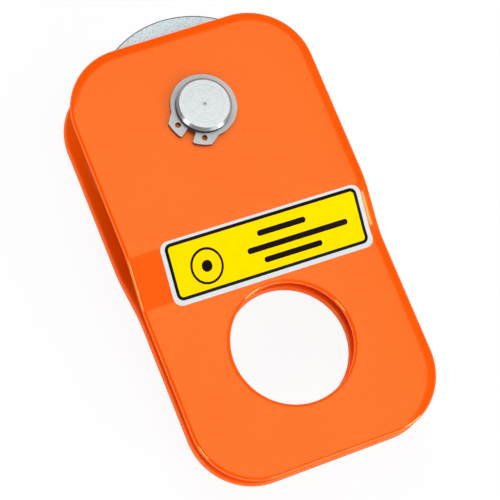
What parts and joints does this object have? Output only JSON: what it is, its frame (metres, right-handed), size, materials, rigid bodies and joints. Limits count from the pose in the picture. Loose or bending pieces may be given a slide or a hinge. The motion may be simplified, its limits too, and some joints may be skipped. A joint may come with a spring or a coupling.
{
  "type": "snatch block",
  "caption": "Side-opening pulley block: two joggled steel side plates on an axle pin, with a grooved sheave between them and a large shackle hole.",
  "frame": {"origin": "centre of the shackle hole, midway between the two side plates", "axes": "+Z leaves the front plate along the shackle hole and the axle, +Y runs along the block from the shackle hole to the sheave, +X runs across the block"},
  "size_m": [0.1, 0.1848, 0.0374],
  "materials": {
    "plate_paint": "glossy orange powder coat",
    "zinc_plate": "turned steel, bright zinc plated",
    "sheave_zinc": "zinc plated with a fine dark speckle",
    "spring_steel": "satin spring steel",
    "bronze": "plain bearing bronze",
    "label_white": "glossy printed vinyl, white border",
    "label_yellow": "glossy printed vinyl, yellow",
    "label_black": "glossy printed vinyl, black"
  },
  "bodies": {
    "back_frame": {"back_side_plate": "plate_paint", "axle_pin": "zinc_plate", "retaining_ring": "spring_steel", "front_thrust_washer": "zinc_plate", "back_thrust_washer": "zinc_plate"},
    "front_plate": {"front_side_plate": "plate_paint"},
    "wheel": {"sheave": "sheave_zinc", "sheave_bushing": "bronze"}
  },
  "joints": [
    {"name": "front_plate_swing", "type": "hinge", "parent": "back_frame", "child": "front_plate", "pos_m": [0, 0.097, 0.0132], "axis": [0, 0, 1], "continuous": true},
    {"name": "sheave_spin", "type": "hinge", "parent": "back_frame", "child": "wheel", "pos_m": [0, 0.097, 0], "axis": [0, 0, 1], "continuous": true}
  ]
}
